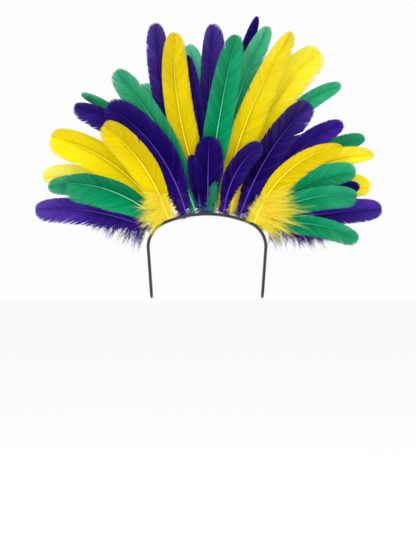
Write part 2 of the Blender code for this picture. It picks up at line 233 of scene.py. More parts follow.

# Looks of a feather: the painted light and shade on each side, how pale its tip and its painted highlights
# are, and how loose the barbs are on each side
Look = namedtuple("Look", "light_left light_right pale loose_left loose_right")
LOOKS = {
    "purple_left_low": Look(1.0, 0.7, 0.60, 0.6, 0.2),
    "green_left_back": Look(-0.1, -0.1, 0.35, 0.2, 0.2),
    "green_left_front": Look(0.2, -0.5, 0.12, 0.2, 0.2),
    "yellow_left_low": Look(0.9, 1.1, 1.00, 0.2, 0.2),
    "yellow_left_wide": Look(1.0, 0.2, 0.05, 0.1, 0.1),
    "yellow_left_front": Look(0.1, -0.7, 0.03, 0.1, 0.1),
    "purple_left_back": Look(0.2, -0.3, 0.15, 0.3, 0.1),
    "purple_left_front": Look(0.0, -0.3, 0.08, 0.2, 0.1),
    "green_left_tiny": Look(0.0, 0.0, 0.40, 0.2, 0.1),
    "green_left_tall": Look(0.2, 0.0, 0.40, 0.1, 0.2),
    "green_left_small": Look(1.3, 1.3, 0.90, 0.1, 0.1),
    "purple_top_left": Look(0.0, -0.1, 0.45, 0.3, 0.2),
    "yellow_top_left": Look(-0.5, -0.2, 0.05, 0.1, 0.2),
    "green_top_small": Look(1.0, 1.2, 1.00, 0.2, 0.2),
    "purple_top_inner": Look(-0.6, 0.1, 0.10, 0.3, 0.3),
    "purple_centre_left": Look(-0.2, 0.1, 0.10, 0.3, 0.3),
    "purple_centre_short": Look(-0.5, -0.4, 0.03, 0.1, 0.1),
    "purple_centre_right": Look(-0.4, -0.2, 0.15, 0.1, 0.3),
    "purple_mid_right": Look(-0.2, 0.0, 0.10, 0.5, 0.5),
    "purple_top_mid": Look(-0.2, 0.1, 0.40, 0.2, 0.2),
    "green_top_mid": Look(-0.3, 0.1, 0.12, 0.1, 0.1),
    "purple_top_tip": Look(-0.2, -0.1, 0.05, 0.1, 0.1),
    "green_top_right": Look(0.3, 0.4, 0.55, 0.2, 0.6),
    "yellow_top_right": Look(0.3, 0.1, 0.20, 0.2, 0.3),
    "yellow_right_high": Look(0.7, 0.85, 0.30, 0.2, 0.6),
    "green_right_high": Look(0.5, 0.8, 0.30, 0.1, 0.1),
    "purple_right_front": Look(-0.8, -0.1, 0.30, 0.2, 0.35),
    "purple_right_back": Look(0.4, 0.8, 0.05, 0.2, 0.2),
    "green_right_small": Look(0.0, 0.1, 0.15, 0.1, 0.1),
    "yellow_right_front": Look(-0.3, -0.2, 0.05, 0.2, 0.2),
    "yellow_right_back": Look(0.5, 1.0, 0.20, 0.1, 0.2),
    "green_right_mid": Look(0.8, 0.3, 0.20, 0.1, 0.3),
    "purple_right_small": Look(-0.3, -0.2, 0.05, 0.1, 0.1),
    "yellow_right_small": Look(1.1, 1.1, 0.20, 0.1, 0.2),
    "green_right_low": Look(0.3, 0.1, 0.20, 0.1, 0.3),
    "purple_right_low": Look(0.9, 0.3, 0.25, 0.1, 0.3),
    "green_right_bottom": Look(0.1, 0.1, 0.20, 0.2, 0.3),
    "purple_right_bottom": Look(0.2, 0.2, 0.30, 0.2, 0.9),
}

# Tufts of down and fringes of loose barbs, beyond the small ones that every feather has at its foot: the
# side is 1 for left and -1 for right, start and end are shares of the vane, reach is in metres, low and high
# are the slants towards the tip at the start and the end, locks is their number, and lift brings the strands
# towards the camera, in metres
Tuft = namedtuple("Tuft", "feather side start end reach low high locks lift")
TUFTS = (
    Tuft("yellow_left_front", 1, -0.02, 0.20, 0.048, -0.40, 0.40, 96, 0.006),
    Tuft("yellow_left_front", -1, -0.045, 0.17, 0.018, -0.10, 1.30, 60, 0.003),
    Tuft("yellow_right_front", -1, -0.02, 0.24, 0.056, -0.40, 1.10, 124, 0.006),
    Tuft("yellow_right_front", 1, -0.045, 0.18, 0.020, -0.10, 1.90, 60, 0.003),
    Tuft("yellow_right_front", -1, 0.01, 0.16, 0.080, 0.00, 0.75, 36, 0.006),
    Tuft("purple_left_low", 1, 0.02, 0.50, 0.041, -0.20, 0.85, 130, 0.0),
    Tuft("purple_left_low", -1, 0.00, 0.20, 0.014, -0.10, 0.70, 20, 0.0),
    Tuft("green_left_front", 1, 0.02, 0.25, 0.024, -0.20, 0.60, 30, 0.0),
    Tuft("green_top_mid", -1, -0.03, 0.05, 0.013, 0.40, 2.60, 70, 0.0066),
    Tuft("green_top_mid", 1, -0.03, 0.02, 0.006, 0.20, 1.20, 16, 0.0066),
    Tuft("green_top_mid", -1, 0.04, 0.34, 0.021, 1.70, 1.90, 80, 0.0),
    Tuft("green_top_mid", -1, -0.02, 0.08, 0.026, 1.80, 3.00, 56, 0.0120),
    Tuft("yellow_top_right", -1, 0.02, 0.30, 0.016, -0.10, 1.20, 34, 0.0),
    Tuft("purple_right_front", 1, 0.00, 0.22, 0.014, -0.20, 1.00, 26, 0.0),
    Tuft("purple_left_front", -1, 0.00, 0.22, 0.014, -0.20, 1.00, 26, 0.0),
    Tuft("purple_left_front", 1, -0.06, 0.05, 0.016, 0.20, 1.20, 30, 0.001),
    Tuft("purple_centre_right", 1, -0.08, 0.06, 0.012, 0.20, 1.40, 24, 0.001),
    Tuft("green_right_low", -1, 0.05, 0.40, 0.026, 0.10, 0.90, 44, 0.0),
    Tuft("green_right_bottom", -1, 0.05, 0.35, 0.020, 0.10, 0.90, 34, 0.0),
    Tuft("purple_right_bottom", -1, 0.08, 1.00, 0.038, 0.10, 0.80, 150, 0.0),
    Tuft("purple_right_bottom", -1, 0.40, 1.00, 0.042, 0.50, 0.90, 70, 0.0),
)


def band_point(along):
    """The band's inner line at a length from its middle: x, z and how far it has turned, in radians."""
    side = 1.0 if along >= 0 else -1.0
    length = abs(along)
    crown_turn = math.radians(CROWN_TURN)
    leg_turn = math.radians(LEG_TURN)
    crown_length = CROWN_RADIUS * crown_turn
    shoulder_length = SHOULDER_RADIUS * (leg_turn - crown_turn)
    shoulder_x = (CROWN_RADIUS - SHOULDER_RADIUS) * math.sin(crown_turn)
    shoulder_z = (CROWN_RADIUS - SHOULDER_RADIUS) * math.cos(crown_turn) - CROWN_RADIUS
    if length <= crown_length:
        turn = length / CROWN_RADIUS
        x = CROWN_RADIUS * math.sin(turn)
        z = CROWN_RADIUS * (math.cos(turn) - 1)
        return side * x, z, side * turn
    past = length - crown_length
    turn = crown_turn + min(past, shoulder_length) / SHOULDER_RADIUS
    x = shoulder_x + SHOULDER_RADIUS * math.sin(turn)
    z = shoulder_z + SHOULDER_RADIUS * math.cos(turn)
    leg = max(past - shoulder_length, 0.0)
    return side * (x + leg * math.cos(turn)), z - leg * math.sin(turn), side * turn


Spine = namedtuple("Spine", "shares places tangents length bare")


def spine_of(row, samples=320):
    """The rachis from root to tip, by the part's own rule: its heading turns by the row's bend, a little
    faster towards the tip, and the whole is turned and scaled to the row's lean and reach."""
    shares = np.linspace(0.0, 1.0, samples)
    heading = math.radians(row.bend) * shares**BEND_POWER
    middle = (heading[1:] + heading[:-1]) / 2
    steps = np.column_stack([np.sin(middle), np.cos(middle)])
    places = np.vstack([np.zeros(2), np.cumsum(steps, axis=0)])
    swing = math.radians(row.lean) - math.atan2(places[-1, 0], places[-1, 1])
    heading = heading + swing
    turn = np.array([[math.cos(swing), -math.sin(swing)], [math.sin(swing), math.cos(swing)]])
    places = places @ turn * (row.reach * LONGEST_FEATHER / np.hypot(*places[-1]))
    x, z, face = band_point(row.seat * SEAT_SPAN)
    lift = BAND_THICKNESS + SEAT_GAP + QUILL_WIDTH / 2 * abs(math.sin(heading[0] - face))
    places = places + np.array([x + lift * math.sin(face), z + lift * math.cos(face)])
    length = np.hypot(*np.diff(places, axis=0).T).sum()
    tangents = np.column_stack([np.sin(heading), np.cos(heading)])
    return Spine(shares, places, tangents, length, BARE_QUILL / length)


def on_spine(spine, along):
    """The place and the unit tangent on the rachis at shares of the vane, straight on past its two ends."""
    share = spine.bare + (1 - spine.bare) * along
    inside = np.clip(share, 0.0, 1.0)
    tangent = np.stack([np.interp(inside, spine.shares, spine.tangents[:, i]) for i in (0, 1)], -1)
    tangent /= np.linalg.norm(tangent, axis=-1, keepdims=True)
    place = np.stack([np.interp(inside, spine.shares, spine.places[:, i]) for i in (0, 1)], -1)
    return place + ((share - inside) * spine.length)[..., None] * tangent, tangent


def leftward(tangent):
    """The way to the left of a tangent, as the camera sees it."""
    return np.stack([-tangent[..., 1], tangent[..., 0]], -1)


def in_space(flat, depth):
    """Points in space from their places (x, z) and their y."""
    return np.stack([flat[..., 0], np.broadcast_to(depth, flat.shape[:-1]), flat[..., 1]], -1)


def unit(vectors):
    """The same ways, each of length 1."""
    return vectors / np.linalg.norm(vectors, axis=-1, keepdims=True)


def height(x, z):
    """How far a place stands out from the fan's middle, past the radius where the layers start to part."""
    return np.maximum(np.hypot(x, z - FAN_CENTRE_Z) - FAN_RADIUS, 0.0)


def layer_depth(layer, x, z):
    """The y of a layer at a place: a step apart at the band, parting as they rise, and dished back."""
    rise = height(x, z)
    dish = DISH_DEPTH * (rise / LONGEST_FEATHER) ** 2
    return ((LAYERS - 1) / 2 - layer) * (LAYER_STEP + LAYER_TIP_STEP * rise / LONGEST_FEATHER) - dish


def vane_share(along, blunt):
    """A vane's share of its full half width: it swells from the base and rounds off at the tip."""
    swell = BASE_SHARE + (1 - BASE_SHARE) * np.sin(np.minimum(along / SWELL_END, 1.0) * math.pi / 2)
    return swell * np.sqrt(np.maximum(1 - along**blunt, 0.0))


def smooth(value):
    """A step from 0 to 1 that starts and ends level: three squares less two cubes."""
    value = np.clip(value, 0.0, 1.0)
    return value * value * (3 - 2 * value)


def wander(rng, places, scale, octaves=3):
    """Smooth noise from about -1 to 1 on a line: seeded values at even knots, joined smoothly, halved in
    height and in pitch for each octave."""
    total = np.zeros_like(places)
    for octave in range(octaves):
        knots = rng.uniform(-1, 1, KNOTS)
        at = places / scale * 2**octave
        low = np.floor(at).astype(int)
        ease = smooth(at - low)
        total += (knots[low % KNOTS] * (1 - ease) + knots[(low + 1) % KNOTS] * ease) / 2**octave
    return total / 1.5


class Shell:
    """Gathers the closed strips and tubes of one piece, and their values at each point, into a mesh."""

    def __init__(self):
        self.points = []
        self.faces = []
        self.maps = []
        self.values = {name: [] for name in ("shade", "pale", "shaft", "glow")}
        self.count = 0

    def add(self, rings, where, shade=0.0, pale=0.0, shaft=0.0, glow=0.0, flip=False):
        """rings is strips by places by corners by 3: each strip becomes a closed tube with a cap at each
        end. The values are one number, or one for each strip and place. where holds a map place for each
        corner, and flip turns the faces round where the corners run the other way."""
        strips, places, corners, _ = rings.shape
        index = self.count + np.arange(strips * places * corners).reshape(strips, places, corners)
        after = np.roll(index, -1, axis=2)
        quads = np.stack([index[:, :-1], after[:, :-1], after[:, 1:], index[:, 1:]], -1).reshape(-1, 4)
        caps = np.concatenate([index[:, 0, ::-1], index[:, -1]])
        if flip:
            quads = quads[:, ::-1]
            caps = caps[:, ::-1]
        self.points.append(rings.reshape(-1, 3))
        self.faces += [quads, caps]
        self.maps.append(where.reshape(-1, 2))
        for name, value in (("shade", shade), ("pale", pale), ("shaft", shaft), ("glow", glow)):
            spread = np.broadcast_to(value, (strips, places))[..., None]
            self.values[name].append(np.broadcast_to(spread, (strips, places, corners)).reshape(-1))
        self.count += strips * places * corners

    def finish(self, name, material):
        """One object at the origin, with its point values as attributes and its map as UVs."""
        points = np.concatenate(self.points).astype(np.float32)
        corners = np.concatenate([faces.reshape(-1) for faces in self.faces]).astype(np.int32)
        sizes = np.concatenate([np.full(len(faces), faces.shape[1]) for faces in self.faces])
        starts = np.concatenate([[0], np.cumsum(sizes)[:-1]]).astype(np.int32)
        mesh = bpy.data.meshes.new(name)
        mesh.vertices.add(len(points))
        mesh.vertices.foreach_set("co", points.reshape(-1))
        mesh.loops.add(len(corners))
        mesh.loops.foreach_set("vertex_index", corners)
        mesh.polygons.add(len(starts))
        mesh.polygons.foreach_set("loop_start", starts)
        mesh.update(calc_edges=True)
        mesh.validate()
        for label, parts in self.values.items():
            layer = mesh.attributes.new(label, "FLOAT", "POINT")
            layer.data.foreach_set("value", np.concatenate(parts).astype(np.float32))
        flat = np.concatenate(self.maps).astype(np.float32)[corners]
        mesh.uv_layers.new(name="barbs").data.foreach_set("uv", flat.reshape(-1))
        mesh.shade_smooth()
        mesh.materials.append(material)
        piece = bpy.data.objects.new(name, mesh)
        bpy.context.scene.collection.objects.link(piece)
        return piece


def rim_slant(along):
    """How far the rim leans towards the tip for each metre that it stands out, as in the part's solids."""
    base = np.interp(along, [0.0, 0.035, 0.08, 0.135, DOWN_END], [-0.10, -0.25, 0.20, 0.55, RIM_SLANT])
    return base + (TIP_SLANT - RIM_SLANT) * along**8


def barb_sweep(along):
    """How far a barb runs towards the tip from its root to its end, for each metre that it stands out."""
    sweeps = [-0.1, 0.4, 1.0, BARB_SLANT, BARB_SLANT, 2.0]
    return np.interp(along, [0.0, 0.06, 0.16, 0.30, 0.85, 1.0], sweeps)


def splits_of(row, side, loose, rng):
    """Where a vane has parted: the place, how far the barbs stand apart at the rim, and the share of a barb
    where the gap starts. The row's own split comes first. A looser vane has more small ones, and wider."""
    charted = row.split_left if side > 0 else row.split_right
    rows = [(charted, CHARTED_GAP, CHARTED_START)] if charted else []
    for _ in range(int(2 + 12 * loose)):
        gap = rng.uniform(0.0003, 0.0008 + 0.0020 * loose)
        rows.append((rng.uniform(0.08, 0.93), gap, rng.uniform(0.45, 0.90)))
    return rows


def groups_of(rng, spots):
    """Barbs cling together in groups along the rim: how far each one is from its group's middle, in metres
    and from -1 to 1."""
    ends = np.cumsum(rng.uniform(*GROUP_WIDTHS, 200))
    group = np.searchsorted(ends, spots)
    width = np.diff(ends, prepend=0.0)[group]
    off = spots - (ends[group] - width / 2)
    return off, off / (width / 2)


def add_vane(shell, row, side, rng):
    """One side of the vane. Each barb is a closed strip of three corners that leaves the rachis, leans
    towards the tip and ends on the rim, which is the rim of the part's solid. At a share u of its length it
    is beside the rachis at root + (end - root) * u * (1 - BARB_SAG * (1 - u)), and it stands out from there
    by reach * u * (1 + BARB_BOW * (1 - u)). Splits part the barbs. Where the vane is loose, groups draw them
    together, and they stray and end short. Each barb is shingled over the next one, and the whole is bowed
    in depth with u to the power 1.3."""
    look = LOOKS[row.name]
    loose = look.loose_left if side > 0 else look.loose_right
    # The painted light and shade of this side of the vane
    light = look.light_left if side > 0 else look.light_right
    width = row.left if side > 0 else row.right
    spine = spine_of(row)
    vane_length = spine.length * (1 - spine.bare)

    fine = np.linspace(0.0, 1.0, 800)
    fine_reach = width * BROADEST_HALF_VANE * vane_share(fine, row.blunt)
    place, tangent = on_spine(spine, fine)
    rim = place + fine_reach[:, None] * (side * leftward(tangent) + rim_slant(fine)[:, None] * tangent)
    run = np.concatenate([[0.0], np.cumsum(np.hypot(*np.diff(rim, axis=0).T))])
    count = int(run[-1] / BARB_STEP)
    spots = (np.arange(count) + 0.5 + 0.25 * rng.uniform(-1, 1, count)) * run[-1] / count
    along = np.interp(spots, run, fine)

    slack = loose * np.interp(along, [0.0, 0.15, 0.50, 0.85, 1.0], [1.0, 1.0, 0.8, 0.5, 0.1])
    slack += np.interp(along, [0.0, 0.05, 0.16], [0.5, 0.35, 0.0])
    ragged = 0.010 * wander(rng, spots, 0.006) + (0.006 + 0.10 * slack) * rng.uniform(-1, 0.3, count)
    off, within = groups_of(rng, spots)
    cling = np.minimum(slack, 0.8)
    reach = np.interp(along, fine, fine_reach) * (1 + ragged - 0.10 * cling * np.abs(within) ** 1.5)
    end = along + rim_slant(along) * reach / vane_length
    root = along - (barb_sweep(along) - rim_slant(along)) * reach / vane_length
    root = np.clip(root, 0.0, None)
    crowd = (RACHIS_STOPS - ROOTS_CROWD) / (1 - ROOTS_CROWD)
    root = np.where(root > ROOTS_CROWD, ROOTS_CROWD + (root - ROOTS_CROWD) * crowd, root)

    u = BARB_PLACES[None, :]
    lengthways = root[:, None] + (end - root)[:, None] * u * (1 - BARB_SAG * (1 - u))
    for at, gap, start in splits_of(row, side, loose, rng):
        fade = np.exp(-np.abs(along - at) / SPLIT_REACH)
        apart = gap / 2 / vane_length * np.sign(along - at) * fade
        lengthways += apart[:, None] * smooth((u - start) / (1 - start))
    lengthways -= (0.75 * cling * off / vane_length)[:, None] * smooth((u - 0.45) / 0.55)
    lengthways += (slack * rng.normal(0, 0.0012, count) / vane_length)[:, None] * u**2
    outwards = reach[:, None] * u * (1 + BARB_BOW * (1 - u))
    centre, tangent = on_spine(spine, lengthways)
    flat = centre + side * outwards[..., None] * leftward(tangent)

    step = unit(np.gradient(flat, axis=1))
    across = side * np.stack([step[..., 1], -step[..., 0]], -1)
    rise = height(flat[..., 0], flat[..., 1]) / LONGEST_FEATHER
    bow = LAYER_TIP_STEP * rise * (CAMBER + side * TWIST * (-1) ** row.layer) * u**1.3
    wave = (0.00016 * wander(rng, spots, 0.014) + 0.00005 * rng.normal(0, 1, count))[:, None] * u
    depth = layer_depth(row.layer, flat[..., 0], flat[..., 1]) + bow + wave

    spread = np.interp(u, [0.0, 0.15, 0.8, 1.0], [0.8, 1.0, 0.9, 0.2])
    half = BARB_WIDTH / 2 * spread * (1 - 0.5 * np.minimum(slack, 1)[:, None] * u)
    tilt = SHINGLE * spread
    corners = (
        in_space(flat - across * half[..., None], depth + tilt),
        in_space(flat, depth - BARB_RIDGE * spread),
        in_space(flat + across * half[..., None], depth - tilt),
    )
    rings = np.stack(corners, 2)

    # The shade: this side's painted light and shade, random patches and barb-to-barb tone, and a rise from a
    # barb's root to its end
    patches = PATCH_SHADE * wander(rng, spots, PATCH_SIZE)
    shade = light + patches + BARB_SHADE * rng.normal(0, 1, count)
    shade = shade[:, None] + END_SHADE * (u - 0.5)
    # Tips are paler, partly in their own colour and partly with painted light shining through them. The
    # barbs' ends get a mottled painted highlight, and painted highlight streaks run along some of them
    # (threads)
    tip = look.pale * smooth((along - 0.40) / 0.55)
    mottle = 0.6 + wander(rng, spots, 0.008)[:, None]
    painted_rim_highlight = (0.10 + 0.25 * look.pale) * smooth((u - 0.55) / 0.45) * mottle
    threads = np.clip(wander(rng, spots, 0.005) - 0.15, 0.0, 0.5)[:, None]
    streak = 1.1 * look.pale * threads * np.sqrt(u)
    pale = np.clip(tip[:, None] * (0.25 + 0.75 * u) + painted_rim_highlight + streak, 0, 1)
    # Painted glow on a side that is painted light
    glow = VANE_GLOW * max(light, 0.0)
    mapped = np.empty(rings.shape[:3] + (2,))
    mapped[..., 0] = (u * reach[:, None])[..., None] * MAP_SCALE
    mapped[..., 1] = (spots[:, None, None] + half[..., None] * np.array([-1.0, 0.0, 1.0])) * MAP_SCALE
    shell.add(rings, mapped, shade=shade, pale=pale, glow=glow, flip=side < 0)


def tube_rings(path, across, out, wide, deep, corners):
    """Rings of an oval tube: at each angle the path plus across * wide * sin plus out * deep * cos."""
    angle = np.arange(corners) / corners * 2 * math.pi
    sideways = (wide[..., None] * np.sin(angle))[..., None] * across[..., None, :]
    outwards = (deep[..., None] * np.cos(angle))[..., None] * out[..., None, :]
    return path[..., None, :] + sideways + outwards


def add_rachis(shell, row):
    """The quill and rachis: an oval tube along the spine that tapers to a fine end near the tip."""
    spine = spine_of(row)
    start = -spine.bare / (1 - spine.bare)
    along = np.concatenate([[start, start * 0.96], np.linspace(start * 0.9, RACHIS_STOPS, 44)])[None, :]
    centre, tangent = on_spine(spine, along)
    share = spine.bare + (1 - spine.bare) * along
    path = in_space(centre, layer_depth(row.layer, centre[..., 0], centre[..., 1]))
    across = in_space(leftward(tangent), 0.0)
    out = np.broadcast_to(np.array([0.0, -1.0, 0.0]), path.shape)
    blunt_end = np.where(along <= start, 0.55, 1.0)
    wide = QUILL_WIDTH / 2 * (1 - 0.85 * share) * blunt_end
    deep = QUILL_DEPTH / 2 * (1 - 0.70 * share) * blunt_end
    rings = tube_rings(path, across, out, wide, deep, 10)
    mapped = np.zeros(rings.shape[:3] + (2,))
    mapped[..., 0] = (share * spine.length)[..., None] * MAP_SCALE
    shaft = np.interp(along, [start, 0.25, 0.55, 0.80, RACHIS_STOPS], [1.0, 1.0, 0.85, 0.45, 0.2])
    shaft = shaft * DULL_SHAFTS.get(row.name, 1.0)
    # A painted glow along the rachis, as strong as its shaft value but never less than LEAST_SHAFT
    shell.add(rings, mapped, shaft=shaft, glow=SHAFT_GLOW * np.maximum(shaft, LEAST_SHAFT))


def add_tuft(shell, row, tuft, rng):
    """Locks of fine tapered strands. A lock's strands start a little apart on the rachis and draw together
    towards the lock's middle. At a share u of its length a strand stands out by reach * u and runs towards
    the tip by slant * reach * u. It curls to one side with u squared, strays along a half sine and wavers
    with u, and near its root it rises smoothly to its lift."""
    spine = spine_of(row)
    share = rng.uniform(0.0, 1.0, tuft.locks)
    along = tuft.start + (tuft.end - tuft.start) * share
    slant = tuft.low + (tuft.high - tuft.low) * share + rng.normal(0, 0.16, tuft.locks)
    slant = np.maximum(slant, tuft.low - 0.08)
    longest = tuft.reach / np.sqrt(1 + 0.5 * np.maximum(slant, 0) ** 2)
    reach = longest * (1 - 0.45 * share**2) * rng.uniform(0.50, 1.05, tuft.locks)
    curl = rng.normal(0, 0.14, tuft.locks)
    lift = tuft.lift * rng.uniform(0.4, 1.0, tuft.locks)

    u = np.linspace(0.0, 1.0, STRAND_PLACES)[None, None, :]
    vane_length = spine.length * (1 - spine.bare)
    beside = rng.uniform(-LOCK_HALF_WIDTH, LOCK_HALF_WIDTH, (tuft.locks, LOCK_STRANDS))
    foot = along[:, None] + beside / vane_length
    centre, tangent = on_spine(spine, foot)
    way = tuft.side * leftward(tangent) + slant[:, None, None] * tangent
    sideways = unit(np.stack([way[..., 1], -way[..., 0]], -1))
    stray = rng.normal(0, 1, (tuft.locks, LOCK_STRANDS, 1))
    waver = rng.normal(0, 1, (tuft.locks, LOCK_STRANDS, 1))
    span = (reach[:, None] * rng.uniform(0.72, 1.03, (tuft.locks, LOCK_STRANDS)))[..., None] * u
    bend = curl[:, None, None] * span * u + stray * STRAY * np.sin(u * math.pi) + waver * STRAY * u
    apart = (centre - centre.mean(axis=1, keepdims=True))[:, :, None, :]
    drawn = apart * (DRAWN_IN * smooth(u * 1.3))[..., None]
    flat = centre[:, :, None, :] + span[..., None] * way[:, :, None, :] - drawn
    flat = flat + bend[..., None] * sideways[:, :, None, :]
    rise = lift[:, None, None] * smooth((u - 0.08) * 3.0) + 0.0002 * stray * u
    depth = layer_depth(row.layer, flat[..., 0], flat[..., 1]) - rise
    strands = tuft.locks * LOCK_STRANDS
    path = in_space(flat, depth).reshape(strands, STRAND_PLACES, 3)
    step = unit(np.gradient(path, axis=1))
    across = unit(np.cross(step, np.broadcast_to(np.array([0.0, -1.0, 0.0]), path.shape)))
    out = np.cross(across, step)
    taper = np.interp(u[0], [0.0, 0.2, 0.7, 1.0], [0.8, 1.0, 0.7, 0.10])
    radius = STRAND_RADIUS * np.tile(taper, (strands, 1))
    rings = tube_rings(path, across, out, radius, radius, 3)
    # Painted shade: strands are darker towards their roots, where they crowd together, and lighter towards
    # their tips; each lock and strand also takes a random tone
    light = 0.55 + 0.65 * rng.normal(0, 1, (tuft.locks, 1, 1)) + 0.40 * stray + 1.2 * (u - 0.5)
    pale = np.clip(STRAND_PALE[row.dye] + 0.40 * u**2 + 0.15 * waver, 0, 1)
    mapped = np.zeros(rings.shape[:3] + (2,))
    mapped[..., 0] = span.reshape(strands, STRAND_PLACES)[..., None] * MAP_SCALE
    mapped[..., 1] = np.arange(strands)[:, None, None] * STRAND_MAP_STEP
    shape = (strands, STRAND_PLACES)
    shade = light.reshape(shape)
    # Each strand has the painted glow of its dye
    shell.add(rings, mapped, shade=shade, pale=pale.reshape(shape), glow=STRAND_GLOW[row.dye])


class Wire:
    """A socket of a material, so that shader maths is written as an expression of sockets and numbers."""

    def __init__(self, board, socket):
        self.board = board
        self.socket = socket

    def __add__(self, other):
        return self.board.maths("ADD", self, other)

    def __sub__(self, other):
        return self.board.maths("SUBTRACT", self, other)

    def __rsub__(self, other):
        return self.board.maths("SUBTRACT", other, self)

    def __mul__(self, other):
        return self.board.maths("MULTIPLY", self, other)

    __radd__ = __add__
    __rmul__ = __mul__

    def limit(self):
        """The value kept between 0 and 1."""
        return self.board.node("ShaderNodeClamp", {}, {0: self})

    def sine(self):
        """The sine of the value, in radians."""
        return self.board.node("ShaderNodeMath", {"operation": "SINE"}, {0: self})


class Board:
    """A new material with a Principled shader, and the one method that adds any other node to it."""

    def __init__(self, name, constants):
        self.material = bpy.data.materials.new(name)
        self.material.use_nodes = True
        self.tree = self.material.node_tree
        self.shader = self.tree.nodes["Principled BSDF"]
        for socket, value in constants.items():
            self.shader.inputs[socket].default_value = value

    def node(self, kind, settings, values, output=0):
        """A node of this kind, with its settings made first and then its sockets set or linked."""
        made = self.tree.nodes.new(kind)
        for name, value in settings.items():
            setattr(made, name, value)
        for socket, value in values.items():
            if isinstance(value, Wire):
                self.tree.links.new(value.socket, made.inputs[socket])
            else:
                made.inputs[socket].default_value = value
        return Wire(self, made.outputs[output])

    def ramp(self, factor, stops):
        """A colour that runs through the stops, each a place and a colour."""
        wire = self.node("ShaderNodeValToRGB", {}, {0: factor})
        elements = wire.socket.node.color_ramp.elements
        while len(elements) < len(stops):
            elements.new(0.5)
        for element, (place, colour) in zip(elements, stops):
            element.position = place
            element.color = solid(colour)
        return wire

    def maths(self, operation, first, second):
        """A sum, difference or product of two values."""
        return self.node("ShaderNodeMath", {"operation": operation}, {0: first, 1: second})

    def value(self, name):
        """A number that the piece holds at each of its points."""
        return self.node("ShaderNodeAttribute", {"attribute_name": name}, {}, output="Fac")

    def mix(self, factor, first, second):
        """A colour between two others."""
        values = {0: factor, 6: first, 7: second}
        return self.node("ShaderNodeMix", {"data_type": "RGBA"}, values, output=2)

    def bump(self, strength, value):
        """A normal that follows a fine grain."""
        return self.node("ShaderNodeBump", {}, {"Strength": strength, "Distance": GRAIN, "Height": value})

    def feed(self, socket, wire):
        """Links a value that varies to a socket of the Principled shader."""
        self.tree.links.new(wire.socket, self.shader.inputs[socket])

    def shine_through(self, colour, share):
        """Lets a share of the light pass through, in the same colour."""
        through = self.node("ShaderNodeBsdfTranslucent", {}, {"Color": colour})
        front = Wire(self, self.shader.outputs["BSDF"])
        both = self.node("ShaderNodeMixShader", {}, {0: share, 1: front, 2: through})
        self.tree.links.new(both.socket, self.tree.nodes["Material Output"].inputs["Surface"])


def solid(colour):
    """The colour with full alpha."""
    return (*colour, 1.0)


# Colours of each dye: its darkest, middle and lightest shades, which carry random tone and painted light and
# shade, the pale colour of its tips and painted highlights, and its rachis
Dye = namedtuple("Dye", "deep body bright pale shaft")
DYES = {
    "yellow": Dye(
        deep=(0.72, 0.53, 0.002),
        body=(0.97, 0.75, 0.002),
        bright=(1.00, 0.87, 0.004),
        pale=(0.96, 0.93, 0.20),
        shaft=(1.00, 0.90, 0.10),
    ),
    "green": Dye(
        deep=(0.0004, 0.14, 0.047),
        body=(0.0004, 0.31, 0.116),
        bright=(0.002, 0.48, 0.20),
        pale=(0.18, 0.64, 0.40),
        shaft=(0.20, 0.68, 0.44),
    ),
    "purple": Dye(
        deep=(0.004, 0.001, 0.044),
        body=(0.017, 0.004, 0.165),
        bright=(0.060, 0.020, 0.380),
        pale=(0.16, 0.085, 0.44),
        shaft=(0.13, 0.055, 0.50),
    ),
}


def feather_material(dye_name):
    """A dyed feather: its shade runs from deep to bright from barb to barb, with random tone and painted
    light and shade. Fine streaks follow the barbs, the fine tips are paler, partly in their own colour and
    partly with painted light, painted highlights streak the barbs' ends, and the rachis is lighter. Some
    light passes through it, and it has a painted glow."""
    dye = DYES[dye_name]
    # A faint sheen tinted with the dye, and the strength of the painted glow
    sheen = {"Specular IOR Level": 0.10, "Specular Tint": solid(dye.bright), "Emission Strength": GLOW}
    board = Board(dye_name + "_feather", sheen)
    along_barbs = board.node("ShaderNodeUVMap", {"uv_map": "barbs"}, {})
    stretched = board.node("ShaderNodeMapping", {}, {0: along_barbs, 3: (6.0, 260.0, 1.0)})
    streak = board.node("ShaderNodeTexNoise", {}, {"Vector": stretched, "Scale": 1.0, "Detail": 3.0})
    # The shade value, which carries painted light and shade as well as random tone, picks a colour from deep
    # to bright
    shade = board.value("shade") * 0.5 + (streak - 0.5) * 0.85 + 0.5
    body = board.ramp(shade.limit(), ((0.0, dye.deep), (0.5, dye.body), (1.0, dye.bright)))
    # Paler tips with painted light through them, and painted highlights, streaked along the barbs
    pale_and_highlit = board.mix((board.value("pale") * (streak * 3.0 - 0.5)).limit(), body, solid(dye.pale))
    grain = board.bump(0.25, streak)
    colour = board.mix(board.value("shaft"), pale_and_highlit, solid(dye.shaft))
    board.feed("Base Color", colour)
    # Painted glow: the feather emits a share of its colour where its glow value is set, though it is no lamp
    board.feed("Emission Color", board.mix(board.value("glow"), solid((0.0, 0.0, 0.0)), colour))
    board.feed("Roughness", streak * 0.2 + 0.45)
    board.feed("Normal", grain)
    board.shine_through(colour, THROUGH)
    return board.material


